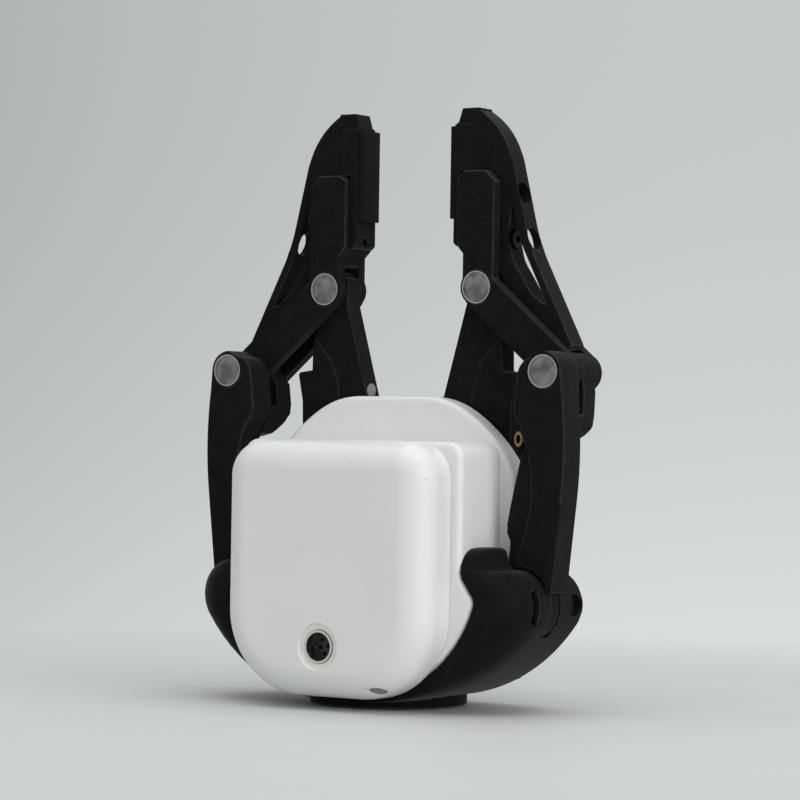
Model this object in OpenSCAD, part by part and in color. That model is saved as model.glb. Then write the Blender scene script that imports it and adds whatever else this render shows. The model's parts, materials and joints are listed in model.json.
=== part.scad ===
// Electric two finger gripper: a palm with a gear motor, two parallelogram fingers
// whose inner links carry meshing gear sectors, and a round robot flange below.
// X runs across the jaws, Y to the rear, Z up from the flange face.

/* [Linkage] */
// Length of each link between its pivots
link_len = 60.7; // [59:0.1:62]
// Outward lean of the links as drawn, in degrees
rest_lean = 6.7; // [5:0.1:8]
// Distance of the outer link pivot from the middle
outer_pivot_x = 42.7; // [42.2:0.1:43.4]
// Height of the outer link pivot
outer_pivot_z = 27.5; // [27:0.1:28]
// Distance of the geared link pivot from the middle, which is the pitch radius
geared_pivot_x = 17; // [16.6:0.1:17.4]
// Height of the geared link pivot
geared_pivot_z = 49.7; // [49.2:0.1:50.2]
// Teeth on a full circle of the sector
sector_teeth = 34; // [30:4:38]
// Teeth on the drive pinion
pinion_teeth = 14; // [12:1:15]
// Play between meshing teeth
backlash = 0.14; // [0.1:0.01:0.2]

/* [Finger stack, front to rear] */
// Plane through the middle of the fingers
finger_y = 8.7; // [8.5:0.1:8.9]
// Thickness of the fingertip web between the fork plates
web_t = 6.6; // [6.2:0.1:7]
// Thickness of a fork plate
plate_t = 3.3; // [3:0.1:3.6]
// Free space beside a moving link
side_gap = 0.2; // [0.15:0.01:0.3]
// Thickness of the outer link's bar
bar_t = 8.6; // [8:0.1:9]
// Thickness of the tongue of the outer link
tongue_t = 4.2; // [3.8:0.1:4.6]

/* [Pins and screws] */
// Radius of the finger pins
pin_r = 2.5; // [2.2:0.1:2.7]
// Radius of a finger pin's head
pin_head_r = 4.3; // [4:0.1:4.4]
// Radius of the pins in the palm
base_pin_r = 2.5; // [2.3:0.1:2.8]
// Radial clearance of a turning pin
run_gap = 0.06; // [0.04:0.01:0.09]
// Radial clearance of a fixed pin or screw
fit_gap = 0.03; // [0.02:0.01:0.05]
// Radius of a small screw's shank
screw_r = 1.25; // [1.1:0.05:1.4]
// Radius of a small screw's head
screw_head_r = 2.2; // [2:0.1:2.4]

/* [Fingers] */
// Height of the fork plates above the inner finger pin
fork_h = 30.7; // [29:0.1:32]
// Half width of the fork's slanting arm
fork_r = 5.1; // [4.9:0.1:5.4]
// Height of the fingertip above the inner finger pin
tip_h = 47.6; // [46:0.1:49]
// Thickness of the fingertip's rear wall beside the window
tip_wall = 2.2; // [1.8:0.1:2.6]
// Thickness of the rubber pad
pad_t = 2.1; // [1.8:0.1:2.3]
// Height of the rubber pad
pad_h = 24.5; // [22:0.5:26]
// Width of the rubber pad
pad_w = 8.2; // [7:0.1:9]

/* [Palm] */
// Radius of the pivot bosses
boss_r = 9.3; // [9:0.1:9.6]
// Distance of the palm's front edge from the flange axis
palm_front = 20.7; // [20:0.1:21.5]
// Distance of the palm's rear face from the flange axis
palm_rear = 12; // [11.9:0.1:12.3]
// Height of the ears
ear_top = 42.9; // [41:0.1:45]
// Distance of the ears' outer faces from the middle
ear_x = 41; // [40:0.1:41.5]
// Radius of the flange boss
flange_r = 20.8; // [20.2:0.1:21.4]
// Pitch circle of the flange screws
flange_pcd = 31.5; // [31:0.1:32]
// Radius of the flange's centring bore
flange_bore_r = 10; // [9:0.1:10.5]
// Thickness of the mount plate
mount_t = 5; // [4:0.1:5.4]

/* [Housing] */
// Half width of the front cover
cover_w = 31.6; // [31:0.1:32]
// Height of the front cover's top
cover_top = 69.3; // [68:0.1:70]
// Distance of the front cover's face from the flange axis
cover_front = 34.1; // [33:0.1:36]
// Radius of the rounded edge round the front cover's face
cover_round = 8; // [6:0.5:8.5]
// Wall of the front cover
cover_wall = 2.2; // [1.8:0.1:2.6]
// Half width of the body shell
body_w = 34.3; // [34:0.1:34.6]
// Radius of the gear case
case_r = 44.6; // [44:0.1:45]
// Height of the middle of the gear case
case_z = 39.5; // [39:0.1:40]
// Depth of the flat cut from the top of the gear case
case_flat = 2.9; // [2.4:0.1:3.4]
// Radius of the corners beside that flat
case_corner = 24; // [23:0.5:25]
// Distance of the rear cover's face from the flange axis
rear_back = 20.9; // [19:0.1:22]

/* [Hidden] */
$fn = 64;

// Colours
white_shell = [0.93, 0.93, 0.92];
black_nylon = [0.1, 0.1, 0.105];
black_rubber = [0.05, 0.05, 0.05];
steel = [0.75, 0.76, 0.78];
nickel = [0.7, 0.69, 0.66];
brass = [0.8, 0.62, 0.28];
green_board = [0.08, 0.35, 0.2];

// Finger stack
web_front = finger_y - web_t/2;
web_back = finger_y + web_t/2;
plate_gap = 0.05;
plate_back_y = web_front - plate_gap;
plate_front_y = plate_back_y - plate_t;
rear_plate_y = web_back + plate_gap;
rear_plate_back = rear_plate_y + plate_t;
link_front = web_front + side_gap;
link_back = web_back - side_gap;
bar_back = plate_front_y - side_gap;
bar_front = bar_back - bar_t;
tongue_front = bar_front + 3.1;
tongue_back = tongue_front + tongue_t;
rib_front = bar_front + 0.8;
rib_back = rib_front + 3.9;

// Pivots of the right finger
outer_pin_x = outer_pivot_x + link_len*sin(rest_lean);
outer_pin_z = outer_pivot_z + link_len*cos(rest_lean);
inner_pin_x = geared_pivot_x + link_len*sin(rest_lean);
inner_pin_z = geared_pivot_z + link_len*cos(rest_lean);
slant = atan2(inner_pin_z - outer_pin_z, inner_pin_x - outer_pin_x);
pin_span = norm([inner_pin_x - outer_pin_x, inner_pin_z - outer_pin_z]);

// Gears
gear_module = 2*geared_pivot_x/sector_teeth;
pressure_angle = 25;
addendum = 0.9*gear_module;
dedendum = 1.15*gear_module;
pinion_pitch_r = pinion_teeth*gear_module/2;
pinion_x = -geared_pivot_x;
pinion_z = geared_pivot_z - geared_pivot_x - pinion_pitch_r;
shaft_r = 2;

// Palm
bowl_x = 10.5;
bowl_bottom = 1.8;
bowl_h = outer_pivot_z - bowl_bottom;
bowl_dx = outer_pivot_x - bowl_x;
bowl_r = (bowl_dx*bowl_dx + bowl_h*bowl_h - boss_r*boss_r)/(2*(bowl_h - boss_r));
bowl_z = bowl_bottom + bowl_r;
bowl_end = atan2(outer_pivot_z - bowl_z, outer_pivot_x - bowl_x);
bowl_wall = 2.6;
ear_back = bar_front - 1.2;
front_depth = palm_front + ear_back;
front_squeeze = 0.223;
ear_round = 9;
slot_gap = 0.35;
slot_r = boss_r + 0.3;
pocket_w = outer_pivot_x - slot_r - 0.5;
pocket_floor = 9;
flange_h = 6.5;
seat_gap = 0.15;
bearing_wall = 6.5;
case_back = link_front - 0.6;
case_front = case_back - bearing_wall;
set_screw_y = finger_y - 0.2;

// Housing
body_top = cover_top + 0.1;
body_wall = 2.4;
case_side = outer_pivot_x - 3.4;
case_top = case_z + case_r - case_flat;
case_corner_z = case_top - case_corner;
case_corner_a = asin((case_corner_z - case_z)/(case_r - case_corner));
case_corner_x = (case_r - case_corner)*cos(case_corner_a);
case_low = 38.5;
cover_z = 59.8;
cover_corner = cover_top - cover_z;
cover_low_r = 22.2;
cover_low_z = 25.1;
connector_z = 16.3;
connector_r = 4.3;
connector_in = 3.7;
dish_r = 6;
dish_depth = 0.8;
socket_depth = 4.6;
board_y = -26;
board_t = 1.6;
board_x = [-4, 20.5];
board_z = [26, 59.5];
board_holes = [for (x = board_x) for (z = board_z) [x, z]];
board_edge = 3;
rear_wall = 2.4;
spacer_z = 75;
case_screw_at = [[28.6, 62.4], [28.3, 18.3]];
cover_screw_at = [[26.8, 61], [25.6, 17]];
rear_screw_at = [[36, 17.5], [-36, 17.5]];

// Fingertip and pad
pad_face = 15.5;
flange_back = pad_face + 1.9;
bridge_back = flange_back + 3.8;
flange_low = inner_pin_z + 11;
pad_low = inner_pin_z + 18.4;
rail_out = 4.7;
tip_screw_z = [inner_pin_z + 12.8, inner_pin_z + 24.9];
fork_top = inner_pin_z + fork_h;
tip_top = inner_pin_z + tip_h;

// Palm, its pins and the plate
pivot_pin_front = tongue_front - 8;
pivot_head_r = base_pin_r + 1.8;
pivot_head_t = 1.4;
set_screw_r = 2;
set_screw_l = 4;
mount_r = 19;
lip_back = -palm_front + 4;
mount_front = lip_back + 0.6;
rear_step = 0.12;
mount_screw_r = 13.2;
body_low = 3.2;

// Gear case and rear cover
foot_corner = 2.4;
gearbox_r = 8.8;
light_pockets = [[10, 30, 7.5], [-1, 44, 7], [9, 58.5, 6], [-16, 61, 5]];
gearbox_screw_at = [for (a = [45, 225]) [pinion_x + 6.4*cos(a), pinion_z + 6.4*sin(a)]];
rear_screw_y = rear_back - 3.4;

// Connector
connector_front = -cover_front + dish_depth - 0.3;
connector_back = connector_front + 10;

// Outer link, from its own pivot
head_r = 5.3;
bar_out = 9.7;
foot_r = boss_r + 1.1;
waist_r = 39.7;
head_in = -7.6;
boss_gap = 0.3;
bush_r = base_pin_r + 1;

// Geared link and its cheek, from the link's pivot in the leaning pose as drawn
gx = geared_pivot_x;
gz = geared_pivot_z;
eye_r = 5;
eye_dx = inner_pin_x - gx;
eye_dz = inner_pin_z - gz;
parting = [[12.4, eye_dz - 12.9], [6.6, eye_dz - 19.4], [4.6, eye_dz - 24.3], [4, eye_dz - 30.4], [4, 18]];
cheek_edge = [[16, 16], [16.2, 21], [16.4, eye_dz - 30.2], [17.8, eye_dz - 23.1], [17.4, eye_dz - 22.4],
  [13.3, eye_dz - 21.8], [13.2, eye_dz - 16.8]];
eye_bush_r = base_pin_r + 1.2;
cheek_screw_dz = eye_dz - 27.5;
cheek_screw_in = -4.2;
insert_dz = 20.6;
insert_out = 16.2;

// Fingertip's rear edge: straight from its foot, a hollow bend, straight, a round shoulder
foot_lean = 26.7;
top_lean = 13.3;
bend_r = 40;
bend_x = inner_pin_x + 15.45 + bend_r*cos(foot_lean);
bend_z = inner_pin_z + 8.2 + bend_r*sin(foot_lean);
shoulder_r = 21;
shoulder_x = inner_pin_x - 12.2;
shoulder_z = inner_pin_z + 28.7;

// Points on an arc from angle a0 to a1
function arc(x, z, r, a0, a1, n = 12) =
  [for (i = [0:n]) let (a = a0 + (a1 - a0)*i/n) [x + r*cos(a), z + r*sin(a)]];
// The same outline on the left side, in reverse order
function mirrored(p) = [for (i = [len(p) - 1:-1:0]) [-p[i][0], p[i][1]]];
// An outline of the X-Z plane placed at depth y
function ring(p, y) = [for (q = p) [q[0], y, q[1]]];
// Involute angle in degrees at the ratio of radius to base radius
function involute(k) = let (t = sqrt(max(k*k - 1, 0))) t*180/PI - atan(t);

// Extrude an X-Z outline from depth y0 to y1
module slab(y0, y1) {
  translate([0, y1, 0]) rotate([90, 0, 0]) linear_extrude(y1 - y0) children();
}

// A round bar or hole along Y
module bar(x, z, r, y0, y1) {
  translate([x, y1, z]) rotate([90, 0, 0]) cylinder(r = r, h = y1 - y0);
}

// A block between two corners
module block(a, b) {
  translate(a) cube(b - a);
}

// Skin stretched over closed rings that follow one another along Y
module loft(rings) {
  n = len(rings[0]);
  m = len(rings);
  points = [for (r = rings) each r];
  sides = [for (i = [0:m - 2]) for (j = [0:n - 1]) let (k = (j + 1)%n, a = i*n, b = a + n)
    each [[a + j, a + k, b + k], [a + j, b + k, b + j]]];
  front = [for (j = [n - 1:-1:0]) j];
  back = [for (j = [0:n - 1]) (m - 1)*n + j];
  polyhedron(points, concat([front], sides, [back]));
}

module right_and_left() {
  children();
  mirror([1, 0, 0]) children();
}

module on_side(side) {
  mirror([side < 0 ? 1 : 0, 0, 0]) children();
}

module at_outer_pivot() {
  translate([outer_pivot_x, 0, outer_pivot_z]) rotate([0, rest_lean, 0]) children();
}

// ---------- palm ----------

// Outline of the palm at a depth: squeezed towards the front, with the ear's height limited
function palm_outline(squeeze, top) = let (
  boss_end = 76,
  saddle = 3.6,
  saddle_z = outer_pivot_z + boss_r*sin(boss_end) + saddle,
  half = concat(
    arc(bowl_x, bowl_z, bowl_r, -90, bowl_end, 12),
    arc(outer_pivot_x, outer_pivot_z, boss_r, bowl_end + 8, boss_end, 12),
    arc(ear_x + saddle, saddle_z, saddle, -100, -180, 5),
    arc(ear_x - 2.4, ear_top - 2.4, 2.4, 10, 90, 5)),
  soft = [for (p = half) [p[0]*squeeze, p[1] < outer_pivot_z ? p[1] : soft_limit(p[1], top)]])
  concat(soft, mirrored(soft));

// Height that eases to a limit instead of running into it
function soft_limit(z, top) = let (k = 1.1) top + 0.75 - k*ln(1 + exp((top + 0.75 - z)/k));

function palm_ring(a) = let (
  y = ear_back - front_depth*sin(a),
  squeeze = 1 - front_squeeze*(1 - cos(a)),
  rise = min(max((-y - palm_front + ear_round)/ear_round, 0), 1),
  top = ear_top - ear_round*(1 - sqrt(1 - rise*rise)))
  ring(palm_outline(squeeze, top), y);

module palm_front_part() {
  loft([for (a = [90:-9:0]) palm_ring(a)]);
}

module bowl_region(r) {
  half = concat(arc(bowl_x, bowl_z, r, -90, bowl_end, 20), [[bowl_x, outer_pivot_z]]);
  polygon(concat(half, mirrored(half)));
}

module palm_rear_part() {
  slab(ear_back - 0.5, palm_rear) {
    bowl_region(bowl_r - rear_step);
    right_and_left() {
      translate([outer_pivot_x, outer_pivot_z]) circle(boss_r - rear_step);
      translate([pocket_w - 2, outer_pivot_z - 4]) square([outer_pivot_x - pocket_w + 2, 6.5]);
    }
  }
}

module palm_pocket() {
  slab(-palm_front - 1, lip_back + seat_gap) body_slot_outline(seat_gap);
  slab(-palm_front - 1, ear_back) intersection() {
    body_slot_outline(seat_gap);
    translate([-60, pocket_floor]) square([120, 200]);
  }
  slab(ear_back - 0.01, palm_rear + 1) intersection() {
    translate([-pocket_w, pocket_floor]) square([2*pocket_w, case_top]);
    union() {
      bowl_region(bowl_r - bowl_wall);
      translate([-pocket_w, outer_pivot_z - 6]) square([2*pocket_w, case_top]);
    }
  }
}

// Outline of the body shell, grown by a gap and open above
module body_slot_outline(gap) {
  polygon(body_outline(-gap, case_top + 30));
}

module palm_shell() color(black_nylon) difference() {
  union() {
    palm_front_part();
    palm_rear_part();
    intersection() {
      cylinder(r = flange_r, h = flange_h);
      block([-60, -palm_front + 0.4, 0], [60, 60, 60]);
    }
  }
  palm_pocket();
  // recess of the mount plate and its screws
  intersection() {
    translate([0, 0, -1]) cylinder(r = mount_r + seat_gap, h = mount_t + 1);
    block([-30, mount_front - seat_gap, -2], [30, 30, 30]);
  }
  for (a = [0, 90, 180, 270]) rotate(a) translate([mount_screw_r, 0, 0]) {
    cylinder(r = screw_r + fit_gap, h = 30);
  }
  right_and_left() {
    // slot of the tongue
    bar(outer_pivot_x, outer_pivot_z, slot_r, tongue_front - slot_gap, tongue_back + slot_gap);
    block([outer_pivot_x - boss_r, tongue_front - slot_gap, outer_pivot_z],
      [outer_pivot_x + boss_r + 3, tongue_back + slot_gap, ear_top]);
    // bore of the pivot pin, from the rear
    bar(outer_pivot_x, outer_pivot_z, base_pin_r + fit_gap, pivot_pin_front, palm_rear + 1);
    bar(outer_pivot_x, outer_pivot_z, pivot_head_r + 0.1, palm_rear - pivot_head_t, palm_rear + 1);
    // access hole of the set screw
    translate([outer_pivot_x, set_screw_y, outer_pivot_z]) rotate([0, 90, 0]) {
      cylinder(r = set_screw_r + fit_gap, h = 20);
      translate([0, 0, base_pin_r + set_screw_l]) cylinder(r = 3.1, h = 20);
    }
    // relief slot round the boss
    relief_slot();
    // screws of the rear cover
    bar(rear_screw_at[0][0], rear_screw_at[0][1], screw_r + fit_gap, palm_rear - 8, palm_rear + 1);
  }
}

module relief_slot() {
  slab(tongue_front - 8.7, tongue_front - 6.2) translate([outer_pivot_x, outer_pivot_z])
    intersection() {
      difference() {
        circle(boss_r + 4);
        circle(boss_r - 2.4);
      }
      polygon([[0, 0], [20, -12], [20, 12]]);
    }
}

module mount_plate() color(steel) difference() {
  intersection() {
    cylinder(r = mount_r, h = mount_t);
    block([-30, mount_front, -1], [30, 30, 30]);
  }
  translate([0, 0, -1]) cylinder(r = flange_bore_r, h = mount_t + 2);
  for (a = [45:90:315]) rotate(a) translate([flange_pcd/2, 0, -1]) cylinder(r = 2.1, h = mount_t + 2);
  for (a = [0, 90, 180, 270]) rotate(a) translate([mount_screw_r, 0, -1]) {
    cylinder(r = screw_r + fit_gap, h = mount_t + 2);
    cylinder(r = screw_head_r + fit_gap, h = 2.6);
  }
}

module mount_plate_screws() color(steel)
  for (a = [0, 90, 180, 270]) rotate(a) translate([mount_screw_r, 0, 0.1]) {
    difference() {
      cylinder(r = screw_head_r, h = 1.5);
      translate([0, 0, -1]) cylinder(r = 0.9, h = 2, $fn = 6);
    }
    cylinder(r = screw_r, h = flange_h - 1);
  }

module outer_pivot_pins() color(steel) right_and_left() {
  bar(outer_pivot_x, outer_pivot_z, base_pin_r, pivot_pin_front + 0.1, palm_rear - 0.5);
  bar(outer_pivot_x, outer_pivot_z, pivot_head_r, palm_rear - pivot_head_t + 0.03, palm_rear - 0.15);
}

module pivot_set_screws() color(steel) right_and_left()
  translate([outer_pivot_x + base_pin_r, set_screw_y, outer_pivot_z]) rotate([0, 90, 0]) difference() {
    cylinder(r = set_screw_r, h = set_screw_l);
    translate([0, 0, set_screw_l - 1.5]) cylinder(r = 1, h = 2, $fn = 6);
  }

// ---------- housing ----------

// Half outline of the front cover, drawn in by an inset
function cover_half(inset) = concat(
  arc(cover_w - cover_low_r, cover_low_z, cover_low_r - inset, -90, 0, 16),
  arc(cover_w - cover_corner, cover_z, cover_corner - inset, 0, 90, 10));
function cover_outline(inset) = concat(cover_half(inset), mirrored(cover_half(inset)));

// Rings of a box whose front edge is rounded
function cover_rings(inset, round, front, back) = concat(
  [for (a = [90:-10:0]) ring(cover_outline(inset + round*(1 - cos(a))), front + round*(1 - sin(a)))],
  [ring(cover_outline(inset), back)]);

module front_cover() color(white_shell) difference() {
  union() {
    difference() {
      loft(cover_rings(0, cover_round, -cover_front, -palm_front));
      loft(cover_rings(cover_wall, cover_round - cover_wall, -cover_front + cover_wall, -palm_front + 1));
    }
    intersection() {
      right_and_left() for (p = cover_screw_at) bar(p[0], p[1], 2.9, -cover_front + 3, -palm_front);
      loft(cover_rings(0.5, cover_round, -cover_front + 0.3, -palm_front));
    }
  }
  bar(0, connector_z, connector_r + fit_gap, -cover_front - 1, -20);
  bar(0, connector_z, dish_r, -cover_front - 1, -cover_front + dish_depth);
  right_and_left() for (p = cover_screw_at)
    bar(p[0], p[1], screw_r + fit_gap, -palm_front - 6.5, -palm_front + 1);
}

// Closed outline of the body shell: straight sides, a shoulder, and a bowl-shaped lower part
function body_half(inset, top) = let (
  low_r = 35,
  low_x = 5,
  low_z = body_low + low_r,
  hip_z = 28.4,
  hip_r = 3.4,
  hip_a = asin((hip_z - low_z)/(low_r - hip_r)),
  hip_x = low_x + (low_r - hip_r)*cos(hip_a))
  concat(
    arc(low_x, low_z, low_r - inset, -90, hip_a, 16),
    arc(hip_x, hip_z, hip_r - inset, hip_a + 10, 48, 6),
    arc(body_w + 3.4, hip_z + 8, 3.4 + inset, 228, 180, 6),
    arc(body_w - 4.5, top - 4.5, 4.5 - inset, 0, 90, 8));
function body_outline(inset, top) = concat(body_half(inset, top), mirrored(body_half(inset, top)));

module body_shell() color(white_shell) difference() {
  intersection() {
    loft(concat(
      [for (a = [90:-30:0]) ring(body_outline(1.8*(1 - cos(a)), body_top), -palm_front + 1.8*(1 - sin(a)))],
      [ring(body_outline(0, body_top), case_front)]));
    union() {
      block([-60, -60, 0], [60, lip_back, 90]);
      block([-60, -60, pocket_floor + seat_gap], [60, ear_back - seat_gap, 90]);
      block([-pocket_w + seat_gap, -60, pocket_floor + seat_gap], [pocket_w - seat_gap, 10, 90]);
      block([-60, -60, case_low], [60, 10, 90]);
    }
  }
  difference() {
    slab(-palm_front + 2.4, case_front + 1) intersection() {
      polygon(body_outline(body_wall, body_top));
      translate([-pocket_w + body_wall + seat_gap, pocket_floor + body_wall])
        square([2*(pocket_w - body_wall - seat_gap), 90]);
    }
    right_and_left() for (p = case_screw_at) bar(p[0], p[1], 2.9, case_front - 11, case_front + 2);
  }
  slab(-palm_front - 1, -palm_front + 3) polygon(cover_outline(7));
  right_and_left() for (p = cover_screw_at)
    bar(p[0], p[1], screw_r + fit_gap, -palm_front - 1, case_front + 1);
  right_and_left() for (p = case_screw_at)
    bar(p[0], p[1], screw_r + fit_gap, case_front - 8.5, case_front + 1);
}

module cover_screws() color(steel) right_and_left() for (p = cover_screw_at) {
  bar(p[0], p[1], screw_r, -palm_front - 6, -palm_front + 2.5);
  bar(p[0], p[1], screw_head_r, -palm_front + 2.43, -palm_front + 3.9);
}

// Outline of the gear case: round with a flat top, narrow beside and below the outer links
function case_half(inset) = let (
  r = case_r - inset,
  side = case_side - inset)
  concat(
    [[pocket_w - seat_gap - foot_corner - inset, pocket_floor + seat_gap + inset],
     [pocket_w - seat_gap - inset, pocket_floor + seat_gap + foot_corner + inset],
     [pocket_w - seat_gap - inset, case_low + inset],
     [side, case_low + inset]],
    arc(0, case_z, r, acos(side/r), case_corner_a, 14),
    arc(case_corner_x, case_corner_z, case_corner - inset, case_corner_a + 4, 90, 8));
function case_outline(inset) = concat(case_half(inset), mirrored(case_half(inset)));

module gear_case() color(white_shell) difference() {
  union() {
    slab(case_front, case_front + 0.4) polygon(case_outline(1.1));
    slab(case_front + 0.4, case_front + 1.1) polygon(case_outline(0.4));
    slab(case_front + 1.1, case_back) polygon(case_outline(0));
  }
  // round pockets that lighten the plate between the seats
  for (p = light_pockets) bar(p[0], p[1], p[2], case_front - 1, case_front + bearing_wall/2);
  right_and_left() {
    bar(geared_pivot_x, geared_pivot_z, base_pin_r + fit_gap, case_front + 0.8, case_back + 1);
    for (p = case_screw_at) {
      bar(p[0], p[1], screw_r + fit_gap, case_front - 1, case_back + 1);
      bar(p[0], p[1], screw_head_r + fit_gap, case_back - 2, case_back + 1);
    }
  }
  bar(pinion_x, pinion_z, shaft_r + 0.4, case_front - 1, case_back + 1);
  bar(0, spacer_z, screw_r + fit_gap, case_back - 4, case_back + 1);
  for (p = gearbox_screw_at) bar(p[0], p[1], 0.9, case_front - 1, case_back - 2);
}

module case_screws() color(steel) right_and_left() for (p = case_screw_at) {
  bar(p[0], p[1], screw_r, case_front - 8, case_back - 1.9);
  bar(p[0], p[1], screw_head_r, case_back - 1.97, case_back - 0.4);
}

module rear_cover() color(black_nylon) difference() {
  union() {
    difference() {
      rear_body(0, palm_rear, rear_back, 5);
      rear_body(rear_wall, palm_rear - 1, rear_back - rear_wall, 3);
    }
    right_and_left() {
      bar(geared_pivot_x, geared_pivot_z, 5.5, link_back + 0.5, rear_back - 1);
      intersection() {
        bar(rear_screw_at[0][0], rear_screw_at[0][1], 4.6, palm_rear, rear_back - 1);
        rear_body(0.4, palm_rear, rear_back - 0.4, 5);
      }
    }
    bar(0, spacer_z, 4.2, palm_rear, rear_back - 1);
    bar(pinion_x, pinion_z, 4.5, palm_rear + 0.4, rear_back - 1);
  }
  right_and_left() {
    bar(geared_pivot_x, geared_pivot_z, base_pin_r + fit_gap, palm_rear - 5, rear_back - 2.6);
    bar(rear_screw_at[0][0], rear_screw_at[0][1], screw_r + fit_gap, 0, rear_back + 1);
    bar(rear_screw_at[0][0], rear_screw_at[0][1], screw_head_r + 0.3, rear_screw_y, rear_back + 1);
  }
  bar(0, spacer_z, screw_r + fit_gap, 0, rear_back + 1);
  bar(0, spacer_z, screw_head_r + 0.3, rear_screw_y, rear_back + 1);
  bar(pinion_x, pinion_z, shaft_r + run_gap, 0, rear_back - 3);
}

// Pan with a rounded rear edge
module rear_body(inset, y0, y1, round) {
  loft(concat(
    [ring(rear_outline(inset), y0)],
    [for (a = [0:15:90]) ring(rear_outline(inset + round*(1 - cos(a))), y1 - round*(1 - sin(a)))]));
}

// Outline of the rear cover: the gear case's circle with a flat bottom above the flange
function rear_outline(inset) = let (
  r = case_r - inset,
  low = flange_h + 0.3 + inset,
  half = concat(
    arc(0, case_z, r, asin((low - case_z)/r), case_corner_a, 30),
    arc(case_corner_x, case_corner_z, case_corner - inset, case_corner_a + 4, 90, 8)))
  concat(half, mirrored(half));

module rear_cover_screws() color(steel) {
  for (p = rear_screw_at) rear_screw(p, palm_rear - 7.5);
  rear_screw([0, spacer_z], case_back - 3.8);
}

module rear_screw(p, tip) {
  bar(p[0], p[1], screw_r, tip, rear_screw_y + 0.1);
  difference() {
    bar(p[0], p[1], screw_head_r, rear_screw_y, rear_screw_y + 1.7);
    translate([p[0], rear_screw_y + 2.2, p[1]]) rotate([90, 0, 0]) cylinder(r = 0.95, h = 1.4, $fn = 6);
  }
}

module cover_spacer() color(steel) difference() {
  bar(0, spacer_z, 2.6, case_back, palm_rear);
  bar(0, spacer_z, screw_r + fit_gap, case_back - 1, palm_rear + 1);
}

module geared_pivot_pins() color(steel) right_and_left()
  bar(geared_pivot_x, geared_pivot_z, base_pin_r, case_front + 0.9, rear_back - 2.7);

// ---------- connector, motor and board ----------

module connector_shell() color(nickel) difference() {
  union() {
    bar(0, connector_z, connector_r, connector_front, connector_back);
    bar(0, connector_z, connector_r + 1.4, connector_back - 1.6, connector_back);
  }
  bar(0, connector_z, connector_in, connector_front - 1, connector_back + 1);
}

module connector_nut() color(nickel) difference() {
  translate([0, -cover_front + cover_wall + 2.1, connector_z]) rotate([90, 0, 0])
    cylinder(r = 6.4, h = 2.05, $fn = 6);
  bar(0, connector_z, connector_r + fit_gap, -40, -20);
}

function contact_place(i) = i == 0
  ? [0, connector_z]
  : [2.35*cos(i*360/7 + 90), connector_z + 2.35*sin(i*360/7 + 90)];

module connector_insert() color(black_nylon) difference() {
  bar(0, connector_z, connector_in - fit_gap, connector_front + socket_depth, connector_back + 0.8);
  for (i = [0:7]) {
    p = contact_place(i);
    bar(p[0], p[1], 0.52, connector_front + socket_depth - 1, connector_front + socket_depth + 2.5);
    bar(p[0], p[1], 0.33, connector_front, connector_back + 2);
  }
}

module connector_contacts() color(brass) for (i = [0:7]) {
  p = contact_place(i);
  bar(p[0], p[1], 0.3, connector_front + socket_depth + 1.5, connector_back + 3);
}

module motor_gearbox() color(steel) {
  difference() {
    bar(pinion_x, pinion_z, gearbox_r, case_front - 9, case_front);
    bar(pinion_x, pinion_z, shaft_r + 0.3, case_front - 3, case_front + 1);
    for (p = gearbox_screw_at) bar(p[0], p[1], 0.9, case_front - 5, case_front + 1);
  }
}

module drive_motor() color(nickel) difference() {
  union() {
    bar(pinion_x, pinion_z, 8.4, case_front - 9 - 17, case_front - 9);
    bar(pinion_x, pinion_z, 2.6, case_front - 9 - 18.4, case_front - 9);
  }
  for (x = [-1, 1]) translate([pinion_x + x*8.6, 0, pinion_z])
    block([-1.8, case_front - 25, -9], [1.8, case_front - 10, 9]);
}

module drive_pinion() color(brass) {
  bar(pinion_x, pinion_z, shaft_r, case_front - 2.9, palm_rear + 4);
  slab(link_front, link_back) translate([pinion_x, pinion_z])
    gear(pinion_teeth, 90 + 180/pinion_teeth, 0, pinion_teeth - 1);
}

module control_board() color(green_board) difference() {
  block([board_x[0] - board_edge, board_y, board_z[0] - board_edge],
    [board_x[1] + board_edge, board_y + board_t, board_z[1] + board_edge]);
  for (p = board_holes) bar(p[0], p[1], 1.1, board_y - 1, board_y + board_t + 1);
}

module board_chips() color([0.12, 0.12, 0.13]) {
  block([5, board_y - 1.4, 40], [13, board_y, 48]);
  block([3, board_y - 1.2, 28], [8, board_y, 34]);
  block([12, board_y - 2.6, 27], [19, board_y, 33]);
  block([16, board_y - 1.2, 52], [21, board_y, 56]);
  block([-3, board_y - 3, 50], [3, board_y, 55]);
}

module board_standoffs() color(brass) for (p = board_holes) {
  bar(p[0], p[1], 2.2, board_y + board_t, case_front);
  bar(p[0], p[1], 1.05, board_y + 0.2, board_y + board_t + 0.1);
}

// ---------- gears ----------

// Polygon of one tooth whose middle points along angle a
function tooth(n, a) = let (
  pitch = n*gear_module/2,
  base = pitch*cos(pressure_angle),
  root = pitch - dedendum,
  tip = pitch + addendum,
  half = 90/n - backlash/(4*pitch)*180/PI + involute(pitch/base),
  low = max(root, base),
  flank = concat([[root - 0.3, half]], [for (i = [0:5]) let (r = low + (tip - low)*i/5)
    [r, half - involute(r/base)]]))
  concat(
    [for (p = flank) [p[0]*cos(a - p[1]), p[0]*sin(a - p[1])]],
    [for (i = [len(flank) - 1:-1:0]) [flank[i][0]*cos(a + flank[i][1]), flank[i][0]*sin(a + flank[i][1])]]);

module gear(n, phase, first, last) {
  circle(n*gear_module/2 - dedendum + 0.04);
  for (i = [first:last]) polygon(tooth(n, phase + i*360/n));
}

// ---------- right hand links, mirrored for the left ----------

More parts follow.
